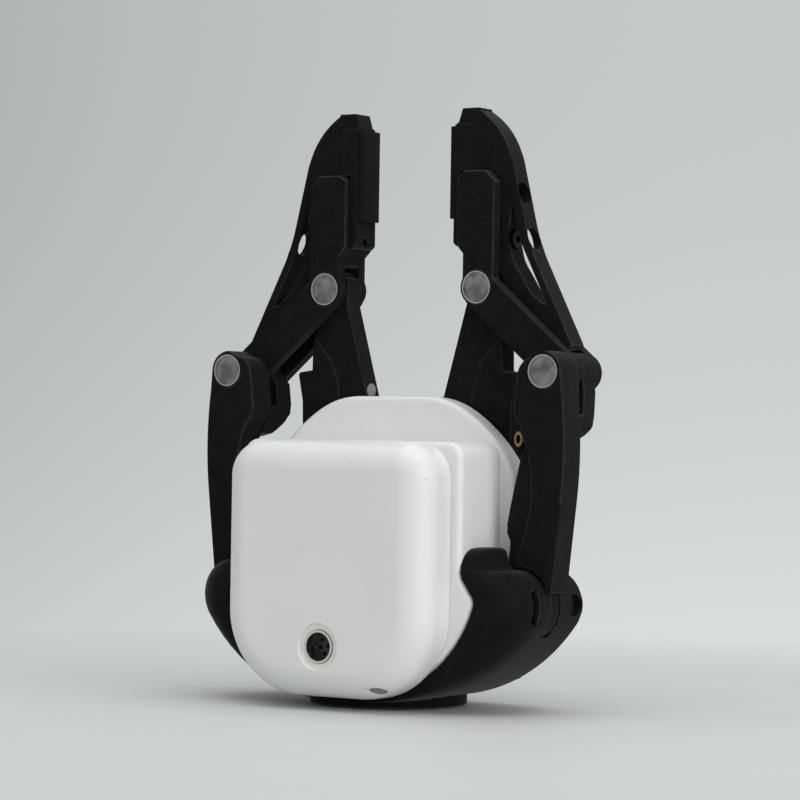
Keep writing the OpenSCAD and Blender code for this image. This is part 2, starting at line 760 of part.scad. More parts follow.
// Front outline of the outer link in its own frame: pivot at zero, finger pin straight above
function outer_outline() = concat(
  [[bar_out, 5]],
  arc(bar_out - 117, 28, 117, 0, asin((link_len - 32.7)/117), 8),
  arc(0, link_len, head_r, 12, 95, 10),
  arc(head_in + 5.2, link_len - 1.7, 5.2, 102, 180, 8),
  arc(head_in + 6, link_len - 9.7, 6, 180, 235, 6),
  arc(0.6 - waist_r, 26, waist_r, asin((link_len - 42.2)/waist_r), -18, 14),
  arc(0, 0, foot_r, 97, 27, 12));

module outer_rear_block() intersection() {
  slab(bar_back - 0.1, link_back) {
    translate([0, link_len]) circle(head_r - 0.15);
    polygon(concat(
      arc(0.4, link_len - 12.5, 6, -80, 0, 8),
      [[5.8, link_len - 4.5], [head_r - 0.6, link_len]],
      [[0.6 - head_r, link_len], [head_in + 0.3, link_len - 4]],
      arc(head_in + 6.3, link_len - 10.5, 6, 180, 225, 5),
      [[-3.6, link_len - 17.5]]));
  }
  rotate([90, 0, 90]) linear_extrude(60, center = true) polygon(concat(
    [[bar_back - 0.1, link_len + 10], [bar_back - 0.1, link_len - 18.6]],
    arc(link_back - 9, link_len - 9.7, 9, -88, 0, 10),
    [[link_back, link_len + 10]]));
}

module outer_link_shape() difference() {
  union() {
    slab(bar_front, bar_back) polygon(outer_outline());
    outer_rear_block();
    // tongue in the palm's slot
    slab(tongue_front, tongue_back) {
      circle(boss_r - 0.4);
      translate([-2, 0]) square([8.5, foot_r + 4]);
    }
    // thin web beside the bar
    slab(rib_front, rib_back) polygon(concat(
      [[4, 44], [-2.6, 44], [-4.2, 37.5], [-4.95, 31], [-5.6, 24.5], [-5.9, 20.6], [-5.6, 18],
       [-4.4, 16.2], [-4.2, 13.6], [-4.3, 12], [-3.4, 10.4]],
      arc(0, 0, boss_r + boss_gap, 110, 65, 5)));
  }
  // slot of the front fork plate
  block([-20, bar_back, link_len - 10.4], [20, web_front + side_gap, link_len + 20]);
  bar(0, link_len, pin_r + fit_gap, bar_front - 1, link_back + 1);
  bar(0, link_len, pin_head_r + 0.12, bar_front - 1, bar_front + 1.6);
  bar(0, 0, bush_r + fit_gap, tongue_front - 1, tongue_back + 1);
}

module outer_link(side) color(black_nylon) on_side(side) at_outer_pivot() outer_link_shape();

module outer_bush(side) color(brass) on_side(side) difference() {
  bar(outer_pivot_x, outer_pivot_z, bush_r, tongue_front, tongue_back);
  bar(outer_pivot_x, outer_pivot_z, base_pin_r + run_gap, tongue_front - 1, tongue_back + 1);
}

// Pin with a flush head, a shank through the fork and a retaining ring behind
module finger_pin(x, z, head_y) {
  difference() {
    bar(x, z, pin_head_r, head_y - 0.25, head_y + 1.55);
    bar(x, z, pin_head_r - 0.7, head_y - 1, head_y - 0.12);
  }
  bar(x, z, pin_r, head_y + 1.5, rear_plate_back + 1.6);
  bar(x, z, pin_r + 1.5, rear_plate_back + 0.15, rear_plate_back + 0.95);
}

module outer_finger_pin(side) color(steel) on_side(side) finger_pin(outer_pin_x, outer_pin_z, bar_front);

module inner_finger_pin(side) color(steel) on_side(side)
  finger_pin(inner_pin_x, inner_pin_z, plate_front_y);

module geared_link_shape(shift) difference() {
  slab(link_front, link_back) difference() {
    union() {
      gear(sector_teeth, 180 + shift*360/sector_teeth, -3, 13);
      translate([eye_dx, eye_dz]) circle(eye_r);
      polygon(concat(
        [[-9.2, 8], [15.6, 2], [16, 15.9], [4, 17.9]],
        [for (i = [len(parting) - 1:-1:0]) parting[i]],
        [[eye_dx + 4.4, eye_dz - 1.5], [eye_dx, eye_dz], [eye_dx, eye_dz + 3.2],
         [eye_dx - eye_r - 0.08, eye_dz + 3.2], [eye_dx - eye_r - 0.08, eye_dz - 4],
         [-4.8, 31.6], [-6.6, 25]]));
    }
  }
  bar(0, 0, eye_bush_r + fit_gap, link_front - 1, link_back + 1);
  bar(eye_dx, eye_dz, pin_r + run_gap, link_front - 1, link_back + 1);
  cheek_screw_hole();
}

module cheek_screw_hole() translate([cheek_screw_in, finger_y, cheek_screw_dz]) rotate([0, 90, 0]) {
  cylinder(r = screw_r + fit_gap, h = 16);
  translate([0, 0, -6]) cylinder(r = screw_head_r + 0.15, h = 7.7);
}

module geared_link(side) color(black_nylon) on_side(side) translate([gx, 0, gz])
  geared_link_shape(side < 0 ? 0.5 : 0);

module geared_bush(side) color(brass) on_side(side) difference() {
  bar(gx, gz, eye_bush_r, link_front, link_back);
  bar(gx, gz, base_pin_r + run_gap, link_front - 1, link_back + 1);
}

module link_cheek(side) color(black_nylon) on_side(side) translate([gx, 0, gz]) difference() {
  slab(link_front, link_back) polygon(concat(
    [for (p = parting) [p[0] + 0.15, p[1]]], cheek_edge));
  cheek_screw_hole();
  translate([insert_out - 3.8, finger_y, insert_dz]) rotate([0, 90, 0]) cylinder(r = 2 + fit_gap, h = 20);
}

module cheek_screw(side) color(steel) on_side(side)
  translate([gx + cheek_screw_in, finger_y, gz + cheek_screw_dz]) rotate([0, 90, 0]) {
    cylinder(r = screw_r, h = 15.5);
    difference() {
      cylinder(r = screw_head_r, h = 1.6);
      for (a = [0, 90]) rotate(a) translate([-1.4, -0.25, -0.01]) cube([2.8, 0.5, 0.8]);
    }
  }

module cheek_insert(side) color(brass) on_side(side)
  translate([gx + insert_out - 3.7, finger_y, gz + insert_dz]) rotate([0, 90, 0]) difference() {
    cylinder(r = 2, h = 4.1);
    translate([0, 0, -1]) cylinder(r = 1.2, h = 6);
  }

// ---------- fingers ----------

// Outline of one fork plate: an upright leg and a slanting arm
module fork_plate_outline() {
  leg_in = flange_back + 0.2;
  leg_out = inner_pin_x + 5;
  polygon([[leg_in + 2.2, inner_pin_z], [leg_in + 2.2, inner_pin_z + 8.9],
    [leg_in + 0.3, inner_pin_z + 10.8], [leg_in, flange_low + 1], [leg_in, fork_top - 1.8],
    [leg_in + 2.1, fork_top], [leg_out - 2.6, fork_top], [leg_out, fork_top - 2.8],
    [leg_out, inner_pin_z + 1.6], [inner_pin_x, inner_pin_z - 2]]);
  translate([inner_pin_x, inner_pin_z]) circle(fork_r - 0.2);
  translate([outer_pin_x, outer_pin_z]) {
    circle(fork_r);
    rotate(slant) translate([0, 0.08 - fork_r]) square([pin_span, 2*fork_r - 0.16]);
  }
}

module finger_fork(side) color(black_nylon) on_side(side) difference() {
  union() {
    slab(plate_front_y, plate_back_y) fork_plate_outline();
    slab(rear_plate_y, rear_plate_back) fork_plate_outline();
    slab(plate_back_y - 0.5, rear_plate_y + 0.5) bridge_outline();
  }
  bar(inner_pin_x, inner_pin_z, pin_r + fit_gap, plate_front_y - 1, rear_plate_back + 1);
  bar(inner_pin_x, inner_pin_z, pin_head_r + 0.12, plate_front_y - 1, plate_front_y + 1.6);
  bar(outer_pin_x, outer_pin_z, pin_r + run_gap, plate_front_y - 1, rear_plate_back + 1);
  for (z = tip_screw_z) translate([pad_face, finger_y, z]) rotate([0, 90, 0])
    cylinder(r = screw_r + fit_gap, h = 10);
}

// Bridge between the plates, in front of the fingertip's web
module bridge_outline() {
  polygon([[flange_back + 2.5, inner_pin_z + 6.2], [flange_back + 2.5, inner_pin_z + 9],
    [flange_back + 0.6, inner_pin_z + 10.9], [flange_back + 0.3, flange_low + 1.1],
    [flange_back + 0.3, fork_top - 2.1], [bridge_back, fork_top - 2.1], [bridge_back, inner_pin_z + 6.2]]);
}

// Point of the straight foot at a distance below the bend, drawn in by an inset
function tip_foot(inset, d) = [
  bend_x - (bend_r + inset)*cos(foot_lean) + d*sin(foot_lean),
  bend_z - (bend_r + inset)*sin(foot_lean) - d*cos(foot_lean)];
// The hollow bend from the foot upwards
function tip_bend(inset) = arc(bend_x, bend_z, bend_r + inset, 180 + foot_lean, 180 + top_lean, 5);
// The round shoulder at the top
function tip_shoulder(inset) = arc(shoulder_x, shoulder_z, shoulder_r - inset, top_lean, 61, 8);

module tip_outline() difference() {
  polygon(concat(
    [tip_foot(0, 26)],
    tip_bend(0),
    tip_shoulder(0),
    [[inner_pin_x - 2, tip_top], [pad_face + 1.5, tip_top], [pad_face + 0.1, tip_top - 4.4],
     [pad_face, flange_low + 0.8], [pad_face + 0.8, flange_low], [flange_back, flange_low],
     [flange_back, fork_top - 0.6], [bridge_back + 0.2, fork_top - 0.6],
     [bridge_back + 0.2, inner_pin_z + 4],
     [inner_pin_x + 4.9, inner_pin_z - 0.5],
     [inner_pin_x + 7.1, inner_pin_z - 6.9],
     [outer_pin_x - 1, outer_pin_z - 0.6],
     [outer_pin_x, outer_pin_z + 3]]));
  translate([inner_pin_x, inner_pin_z]) circle(eye_r + 1.4);
  translate([outer_pin_x, outer_pin_z]) circle(head_r + 0.7);
}

// Window between the web and the thin rear wall
module tip_window() {
  polygon(concat(
    [tip_foot(tip_wall, 13)],
    tip_bend(tip_wall),
    [[inner_pin_x + 8.5, inner_pin_z + 22.8]],
    arc(inner_pin_x + 7.6 + 16, inner_pin_z + 14, 16, 163, 218, 8),
    [[inner_pin_x + 14.5, inner_pin_z - 1.3], [inner_pin_x + 17.6, inner_pin_z - 4]]));
}

module fingertip_shape() difference() {
  union() {
    slab(web_front, web_back) tip_outline();
    intersection() {
      block([pad_face, finger_y - rail_out, flange_low], [flange_back, finger_y + rail_out, tip_top - 4.4]);
      slab(0, 30) tip_outline();
    }
    rail();
  }
  slab(web_front - 1, web_back + 1) tip_window();
  for (z = tip_screw_z) translate([pad_face, finger_y, z]) rotate([0, 90, 0]) {
    cylinder(r = screw_r + fit_gap, h = 30);
    translate([0, 0, tip_screw_seat(z) - pad_face]) cylinder(r = 3, h = 30);
  }
}

// Distance from the middle to the seat of a fingertip screw's head
function tip_screw_seat(z) = z == tip_screw_z[0] ? inner_pin_x + 6.6 : inner_pin_x + 2.2;

// Thicker head of the fingertip above the fork, bevelled towards the web
module rail() intersection() {
  translate([0, 0, fork_top + 0.2]) linear_extrude(tip_top - fork_top - 4) polygon([
    [pad_face, finger_y - rail_out], [pad_face + 3.9, finger_y - rail_out],
    [pad_face + 6.1, web_front], [pad_face + 6.1, web_back],
    [pad_face + 3.9, finger_y + rail_out], [pad_face, finger_y + rail_out]]);
  rotate([90, 0, 90]) linear_extrude(60) polygon([
    [finger_y - rail_out, fork_top], [finger_y - rail_out, fork_top + 11.4],
    [web_front, fork_top + 13.6], [web_back, fork_top + 13.6],
    [finger_y + rail_out, fork_top + 11.4], [finger_y + rail_out, fork_top]]);
}

module fingertip(side) color(black_nylon) on_side(side) fingertip_shape();

module fingertip_screws(side) color(steel) on_side(side) for (z = tip_screw_z)
  translate([tip_screw_seat(z), finger_y, z]) rotate([0, 90, 0]) {
    translate([0, 0, flange_back - tip_screw_seat(z) + 0.4])
      cylinder(r = screw_r, h = tip_screw_seat(z) - flange_back - 0.3);
    difference() {
      cylinder(r = 2.5, h = 2);
      translate([0, 0, 0.9]) cylinder(r = 1.1, h = 2, $fn = 6);
    }
  }

module grip_pad(side) color(black_rubber) on_side(side)
  translate([0, 0, pad_low]) linear_extrude(pad_h) polygon(concat(
    [[pad_face, finger_y - pad_w/2]],
    [[pad_face, finger_y + pad_w/2]],
    arc(pad_face - pad_t + 22, finger_y, 22, 180 - 10.4, 180 + 10.4, 8)));

palm_shell();
mount_plate();
mount_plate_screws();
front_cover();
body_shell();
gear_case();
rear_cover();
rear_cover_screws();
cover_spacer();
case_screws();
cover_screws();
connector_shell();
connector_insert();
connector_contacts();
connector_nut();
drive_motor();
motor_gearbox();
drive_pinion();
control_board();
board_chips();
board_standoffs();
outer_pivot_pins();
pivot_set_screws();
geared_pivot_pins();
outer_link(1);  // outer_link_right
outer_bush(1);  // outer_bush_right
outer_finger_pin(1);  // outer_finger_pin_right
geared_link(1);  // geared_link_right
geared_bush(1);  // geared_bush_right
link_cheek(1);  // link_cheek_right
cheek_screw(1);  // cheek_screw_right
cheek_insert(1);  // cheek_insert_right
finger_fork(1);  // finger_fork_right
inner_finger_pin(1);  // inner_finger_pin_right
fingertip(1);  // fingertip_right
fingertip_screws(1);  // fingertip_screws_right
grip_pad(1);  // grip_pad_right
outer_link(-1);  // outer_link_left
outer_bush(-1);  // outer_bush_left
outer_finger_pin(-1);  // outer_finger_pin_left
geared_link(-1);  // geared_link_left
geared_bush(-1);  // geared_bush_left
link_cheek(-1);  // link_cheek_left
cheek_screw(-1);  // cheek_screw_left
cheek_insert(-1);  // cheek_insert_left
finger_fork(-1);  // finger_fork_left
inner_finger_pin(-1);  // inner_finger_pin_left
fingertip(-1);  // fingertip_left
fingertip_screws(-1);  // fingertip_screws_left
grip_pad(-1);  // grip_pad_left
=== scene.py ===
# %% [markdown]
# # An electric two finger gripper
#
# A small robot gripper stands on its flange. A black palm, printed in nylon, holds a rounded white
# housing with the motor and its board, and carries two fingers. Each finger is a parallelogram: an
# outer link, an inner link whose round foot is a gear sector, and a fork that stays upright between
# them. The two sectors mesh in the middle, so both fingers move alike.
#
# Every length is in metres and every piece is made in the frame of the construction model, with X
# across the jaws, Y to the rear and Z up from the flange.

import json
import math

import bmesh
import bpy
import numpy as np
from mathutils import Matrix, Vector

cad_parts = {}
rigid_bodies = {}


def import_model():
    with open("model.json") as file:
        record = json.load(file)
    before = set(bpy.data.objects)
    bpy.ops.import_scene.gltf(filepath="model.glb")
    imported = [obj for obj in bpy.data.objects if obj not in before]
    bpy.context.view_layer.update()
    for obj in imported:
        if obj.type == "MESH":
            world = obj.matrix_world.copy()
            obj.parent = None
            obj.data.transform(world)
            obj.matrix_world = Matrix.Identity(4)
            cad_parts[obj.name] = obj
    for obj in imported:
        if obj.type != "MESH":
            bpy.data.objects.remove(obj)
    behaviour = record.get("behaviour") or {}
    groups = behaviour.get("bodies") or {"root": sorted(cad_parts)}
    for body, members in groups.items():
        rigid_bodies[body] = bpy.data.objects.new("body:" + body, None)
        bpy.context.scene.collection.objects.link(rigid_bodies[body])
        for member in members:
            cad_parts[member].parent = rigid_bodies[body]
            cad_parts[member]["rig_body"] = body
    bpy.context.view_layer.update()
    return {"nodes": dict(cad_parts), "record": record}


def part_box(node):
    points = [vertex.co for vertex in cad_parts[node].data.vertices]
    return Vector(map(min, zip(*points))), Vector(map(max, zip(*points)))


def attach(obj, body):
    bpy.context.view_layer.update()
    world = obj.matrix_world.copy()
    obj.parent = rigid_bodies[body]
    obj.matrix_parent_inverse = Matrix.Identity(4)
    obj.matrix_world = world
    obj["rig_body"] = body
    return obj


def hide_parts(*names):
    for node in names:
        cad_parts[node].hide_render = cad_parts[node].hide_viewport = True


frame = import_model()
nodes = frame["nodes"]
slots = {s["node"]: s["material_slot"] for s in frame["record"]["subparts"]}
MM = 0.001

# %% [markdown]
# ## Finishes
#
# A finish here is a small graph of nodes on Object coordinates, so its grain keeps its real size and
# stays with the piece when a finger moves. `Finish` gathers the few steps that every graph needs: a
# noise at a real grain size, a blend between two colours and a bump of a real height. A worn or
# chipped spot has a torn edge, so it is a stretched ball whose edge a fine noise pushes in and out.

# %% A helper that builds finishes
RAGGED_GRAIN, SPOT_EDGE = 0.0005, 0.08


class Finish:
    """A procedural material with one shader, and the object's own coordinates to drive it."""

    def __init__(self, name, color, roughness, metallic=0.0, **sockets):
        self.material = bpy.data.materials.new(name)
        self.material.use_nodes = True
        self.tree = self.material.node_tree
        self.shader = self.tree.nodes["Principled BSDF"]
        self.set("Base Color", (*color, 1))
        self.set("Roughness", roughness)
        self.set("Metallic", metallic)
        for key, value in sockets.items():
            self.set(key.replace("_", " "), value)
        self.place = self.tree.nodes.new("ShaderNodeTexCoord").outputs["Object"]

    def set(self, socket, value):
        """Gives one input of the shader a fixed value."""
        self.shader.inputs[socket].default_value = value

    def noise(self, grain, detail=2.0, rough=0.5):
        """Noise from 0 to 1 whose blobs are about `grain` metres across."""
        node = self.tree.nodes.new("ShaderNodeTexNoise")
        node.inputs["Scale"].default_value = 1.0 / grain
        node.inputs["Detail"].default_value = detail
        node.inputs["Roughness"].default_value = rough
        self.tree.links.new(self.place, node.inputs["Vector"])
        return node.outputs["Fac"]

    def radius_from(self, x, z):
        """Distance from the nearer of the two axes along Y at (x, z) and (-x, z)."""
        value = self.place
        steps = (("ABSOLUTE", None), ("SUBTRACT", (x, 0, z)), ("MULTIPLY", (1, 0, 1)), ("LENGTH", None))
        for operation, v in steps:
            node = self.tree.nodes.new("ShaderNodeVectorMath")
            node.operation = operation
            self.tree.links.new(value, node.inputs[0])
            if v:
                node.inputs[1].default_value = v
            value = node.outputs["Value" if operation == "LENGTH" else "Vector"]
        return value

    def strip(self):
        """1 on the strips that round a solid's edges, which `dress` marks, and 0 elsewhere."""
        node = self.tree.nodes.new("ShaderNodeAttribute")
        node.attribute_name = "strip"
        return node.outputs["Fac"]

    def inside(self, centre, size, turn=(0, 0, 0), ragged=0.35):
        """1 inside a ragged spot: where |p| + ragged * noise < 1 + ragged / 2, with a narrow soft edge.

        p is the place measured from the centre, turned back by `turn` and divided by the half lengths
        `size`, so |p| is 1 on an ellipsoid, and the noise pushes that edge in and out."""
        place = self.tree.nodes.new("ShaderNodeMapping")
        place.vector_type = "TEXTURE"
        for socket, v in (("Location", centre), ("Rotation", turn), ("Scale", size)):
            place.inputs[socket].default_value = v
        self.tree.links.new(self.place, place.inputs["Vector"])
        length = self.tree.nodes.new("ShaderNodeVectorMath")
        length.operation = "LENGTH"
        self.tree.links.new(place.outputs[0], length.inputs[0])
        push = self.math("MULTIPLY", self.noise(RAGGED_GRAIN), ragged)
        edge = self.math("ADD", length.outputs["Value"], push)
        return self.between(edge, 1.0 + SPOT_EDGE + ragged / 2, 1.0 + ragged / 2)

    def math(self, operation, a, b=0.0):
        """One step of arithmetic on a value and either a number or another value."""
        node = self.tree.nodes.new("ShaderNodeMath")
        node.operation = operation
        self.tree.links.new(a, node.inputs[0])
        if isinstance(b, bpy.types.NodeSocket):
            self.tree.links.new(b, node.inputs[1])
        else:
            node.inputs[1].default_value = b
        return node.outputs[0]

    def between(self, value, low, high, out_low=0.0, out_high=1.0):
        """Stretches a value so that low becomes out_low and high becomes out_high, and stops there."""
        node = self.tree.nodes.new("ShaderNodeMapRange")
        for socket, v in zip(("From Min", "From Max", "To Min", "To Max"), (low, high, out_low, out_high)):
            node.inputs[socket].default_value = v
        self.tree.links.new(value, node.inputs["Value"])
        return node.outputs["Result"]

    def mix(self, factor, a, b):
        """Colour a where the factor is 0 and b where it is 1; a may be another blend."""
        node = self.tree.nodes.new("ShaderNodeMix")
        node.data_type = "RGBA"
        self.tree.links.new(factor, node.inputs[0])
        for socket, v in ((6, a), (7, b)):
            if isinstance(v, tuple):
                node.inputs[socket].default_value = (*v, 1)
            else:
                self.tree.links.new(v, node.inputs[socket])
        return node.outputs[2]

    def drive(self, socket, value):
        """Lets a value of the graph set one input of the shader."""
        self.tree.links.new(value, self.shader.inputs[socket])

    def bump(self, value, height, strength=1.0):
        """Raises the surface by `height` metres where the value is 1."""
        node = self.tree.nodes.new("ShaderNodeBump")
        node.inputs["Distance"].default_value = height
        node.inputs["Strength"].default_value = strength
        self.tree.links.new(value, node.inputs["Height"])
        self.tree.links.new(node.outputs["Normal"], self.shader.inputs["Normal"])


# %% [markdown]
# ### Printed nylon
#
# The links and the palm are fused from nylon powder and dyed black. Such a surface is dry and evenly
# rough: grains of a fifth of a millimetre, with a broader mottle where the dye took unevenly and a
# little sheen from the fuzz of powder. The rounded edges are painted greyer, partly rubbed wear and
# partly a painted highlight where they catch the light, and dust lies in the grain.

# %% Black nylon
def nylon():
    """Dyed powder: dark mottle, specks of dust, and a greyer tone on the rounded edges, partly wear and
    partly painted highlight.
    """
    finish = Finish("black_nylon", (0.006, 0.006, 0.0062), 0.68, Specular_IOR_Level=0.03,
                    Sheen_Weight=0.13, Sheen_Roughness=0.35)
    grain = finish.noise(0.00022, 3.0, 0.65)
    mottle = finish.between(finish.noise(0.004, 3.0), 0.35, 0.7)
    dust = finish.between(finish.noise(0.00045, 1.0), 0.64, 0.78)
    base = finish.mix(mottle, (0.0075, 0.0075, 0.0077), (0.011, 0.0108, 0.0107))
    base = finish.mix(dust, base, (0.03, 0.028, 0.027))
    # Painted highlight, partly rubbed wear: a lighter colour on the rounding strips, broken up by a noise.
    edge_highlight_and_wear = finish.between(finish.noise(0.003, 3.0), 0.3, 0.65, 0.35, 1.0)
    edge_highlight_and_wear = finish.math("MULTIPLY", edge_highlight_and_wear, finish.strip())
    finish.drive("Base Color", finish.mix(edge_highlight_and_wear, base, (0.036, 0.034, 0.033)))
    finish.drive("Roughness", finish.between(grain, 0.3, 0.7, 0.56, 0.74))
    finish.bump(grain, 0.00005, 0.55)
    return finish.material


# %% [markdown]
# ### White housing
#
# The covers are moulded, sanded and sprayed white. The paint is satin, and so nearly smooth that only
# a faint orange-peel ripple a few millimetres wide bends the reflections. A few dark specks of dust
# lie in the paint. Low on the front cover the paint is chipped off in one grey spot as long as a grain
# of rice, with two dots beside it and a hairline scratch on the right. Each row of MARKS is one of
# these: its centre, its half lengths, its turn in degrees and its colour.

# %% White paint
MARKS = [
    ((0.0168, -0.0302, 0.0059), (0.0023, 0.0016, 0.001), (0, 6, 45), (0.2, 0.2, 0.19)),
    ((0.0150, -0.0317, 0.0060), (0.0003, 0.0005, 0.0003), (0, 0, 0), (0.1, 0.1, 0.095)),
    ((0.0141, -0.0321, 0.0064), (0.0002, 0.0005, 0.0002), (0, 0, 0), (0.16, 0.16, 0.15)),
    ((0.0286, -0.0273, 0.0141), (0.0013, 0.0022, 0.00007), (20, 0, 20), (0.5, 0.5, 0.48)),
]


def white():
    """Satin paint with a faint ripple, specks of dust and the marks of MARKS."""
    finish = Finish("white_paint", (0.8, 0.805, 0.785), 0.42, Coat_Weight=0.12, Coat_Roughness=0.3)
    peel = finish.noise(0.0022, 2.0)
    speck = finish.between(finish.noise(0.00085, 1.0, 0.2), 0.8, 0.835)
    tint = finish.mix(finish.between(finish.noise(0.02, 2.0), 0.35, 0.65),
                      (0.79, 0.797, 0.775), (0.81, 0.813, 0.795))
    color = finish.mix(speck, tint, (0.4, 0.4, 0.385))
    for centre, size, turn, mark in MARKS:
        radians = tuple(math.radians(a) for a in turn)
        color = finish.mix(finish.inside(centre, size, radians), color, mark)
    finish.drive("Base Color", color)
    finish.drive("Roughness", finish.between(peel, 0.3, 0.7, 0.38, 0.46))
    finish.bump(peel, 0.00003, 0.25)
    return finish.material


# %% [markdown]
# ### Metals, rubber and the small parts
#
# The finger pins are turned stainless steel. Their look depends on the distance r from the pin's axis:
# the tool leaves faint rings, sin(2 pi r / pitch), and where the broken edge of the head catches the
# light, a thin bright rim is painted into the colour as a painted highlight. Nickel, bronze and the
# flange plate are plainer, and the pads are dull rubber.

# %% Metals and small finishes
def turned_steel(name, x, z, radius, pitch=0.00045):
    """Steel turned about the axes along Y at (x, z) and (-x, z), with a painted highlight as a bright rim at
    a radius.
    """
    finish = Finish(name, (0.2, 0.196, 0.186), 0.32, 1.0)
    r = finish.radius_from(x, z)
    smear = finish.between(finish.noise(0.003, 2.0, 0.45), 0.36, 0.66)
    face = finish.mix(smear, (0.12, 0.117, 0.112), (0.25, 0.245, 0.23))
    # Painted highlight: a lighter colour on a thin ring at the head's edge, where the light would catch it.
    rim = finish.between(r, 0.92 * radius, 0.96 * radius)
    finish.drive("Base Color", finish.mix(rim, face, (0.4, 0.39, 0.37)))
    finish.drive("Roughness", finish.between(smear, 0.0, 1.0, 0.27, 0.4))
    finish.bump(finish.math("SINE", finish.math("MULTIPLY", r, 2 * math.pi / pitch)), 0.000004, 0.5)
    return finish.material


def metal(name, color, roughness):
    """Plain metal whose roughness varies with a fine grain."""
    finish = Finish(name, color, roughness, 1.0)
    grain = finish.noise(0.0004, 3.0)
    finish.drive("Roughness", finish.between(grain, 0.3, 0.7, roughness - 0.06, roughness + 0.08))
    return finish.material


def dull(name, color, roughness, grain, height, **sockets):
    """Plastic or rubber: a colour c and a lighter one, 1.25 c + 0.002, mixed by a grain with a relief."""
    finish = Finish(name, color, roughness, **sockets)
    noise = finish.noise(grain, 2.0)
    lighter = tuple(min(1.0, c * 1.25 + 0.002) for c in color)
    finish.drive("Base Color", finish.mix(finish.between(noise, 0.35, 0.7), color, lighter))
    finish.bump(noise, height, 0.5)
    return finish.material


LOOK = {
    "black_nylon": nylon(),
    "white_shell": white(),
    "stainless": metal("stainless", (0.34, 0.335, 0.32), 0.33),
    "black_screw": metal("blackened_steel", (0.012, 0.012, 0.012), 0.42),
    "nickel_plate": metal("nickel", (0.6, 0.58, 0.52), 0.24),
    "aluminium": metal("machined_aluminium", (0.6, 0.61, 0.62), 0.34),
    "bronze": metal("bronze", (0.3, 0.19, 0.08), 0.38),
    "insulator": dull("insulator", (0.012, 0.012, 0.013), 0.4, 0.001, 0.00001),
    "circuit_board": dull("circuit_board", (0.02, 0.13, 0.06), 0.4, 0.002, 0.00001),
    "rubber": dull("rubber", (0.006, 0.006, 0.006), 0.85, 0.0006, 0.00003,
                   Specular_IOR_Level=0.12),
}
PIN_LOOK = {}
for pin in ("outer_finger_pin", "inner_finger_pin"):
    low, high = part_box(pin + "_right")
    middle, radius = (low + high) / 2, (high.x - low.x) / 2
    PIN_LOOK[pin] = turned_steel(pin, middle.x, middle.z, radius)
    print(pin, "axis at", round(middle.x / MM, 2), round(middle.z / MM, 2), "radius", round(radius / MM, 2))
print("finishes:", sorted(LOOK))

# %% [markdown]
# ## Normals that keep flats flat
#
# A rounded edge looks right only if the flat beside it stays flat. Each corner of a face takes the
# mean of the faces around its point, weighted by their area, and leaves out those that lean more
# than a limit from its own face. A large flat then outweighs the narrow strip that rounds its edge,
# and the strip carries the whole turn.

# %% Area-weighted corner normals
def soft_normals(mesh, limit):
    """Sets each corner's normal to the unit vector along n = sum(A_k n_k).

    The sum goes over the faces k at the corner's point with n_k . n_own > cos(limit)."""
    faces, corners = len(mesh.polygons), len(mesh.loops)
    normal, area = np.empty(faces * 3), np.empty(faces)
    total, point = np.empty(faces, int), np.empty(corners, int)
    mesh.polygons.foreach_get("normal", normal)
    mesh.polygons.foreach_get("area", area)
    mesh.polygons.foreach_get("loop_total", total)
    mesh.loops.foreach_get("vertex_index", point)
    normal, owner = normal.reshape(-1, 3), np.repeat(np.arange(faces), total)
    order = np.argsort(point, kind="stable")
    count = np.bincount(point, minlength=len(mesh.vertices))
    start = np.concatenate([[0], np.cumsum(count)[:-1]])
    per = count[point]
    own = np.repeat(np.arange(corners), per)
    step = np.arange(per.sum()) - np.repeat(np.cumsum(per) - per, per)
    other = owner[order[start[point[own]] + step]]
    near = (normal[owner[own]] * normal[other]).sum(1) > math.cos(limit)
    out = np.zeros((corners, 3))
    np.add.at(out, own[near], normal[other[near]] * area[other[near], None])
    out /= np.maximum(np.linalg.norm(out, axis=1), 1e-20)[:, None]
    mesh.polygons.foreach_set("use_smooth", np.ones(faces, bool))
    mesh.normals_split_custom_set(out.tolist())


# %% [markdown]
# ## Dressing a solid
#
# The construction solids have sharp edges. `dress` copies one, joins its doubled corners and its flat
# triangles, rounds its edges by the radius that EDGE gives and smooths what is round. The links, forks,
# fingertips, palm, pads and flange get two to four tenths of a millimetre. The other solids aren't in
# EDGE and keep the edges that they were built with; the bright rim of a pin is a painted highlight in
# its finish.
#
# Where two edges lie closer together than the radius, a rounding folds over itself. A fold shows as an
# edge whose two faces turn by more than 150 degrees, or as an open edge. So the rounding is tried, the
# edges near a fold are left out of the next try, and that goes on until none folds. A solid that still
# folds after the last try would stay sharp.

# %% Copy, round and smooth a solid
SMOOTH, SHARP, FOLDED, FLAT = (math.radians(a) for a in (38, 42, 150, 0.5))
SAME_POINT, TRIES = 1e-6, 8


def own(name, mesh, node_names, look=None, limit=SMOOTH):
    """Makes an object of a mesh that stands for these solids, on their body and with their finish."""
    soft_normals(mesh, limit)
    piece = bpy.data.objects.new(name, mesh)
    bpy.context.scene.collection.objects.link(piece)
    mesh.materials.clear()
    mesh.materials.append(look or LOOK[slots[node_names[0]]])
    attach(piece, nodes[node_names[0]]["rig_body"])
    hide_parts(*node_names)
    return piece


def joined(node):
    """A copy of a solid whose flat triangles are joined to whole faces."""
    work = bmesh.new()
    work.from_mesh(nodes[node].data)
    work.faces.layers.float.new("strip")
    bmesh.ops.remove_doubles(work, verts=work.verts, dist=SAME_POINT)
    bmesh.ops.dissolve_limit(work, angle_limit=FLAT, verts=work.verts, edges=work.edges)
    return work


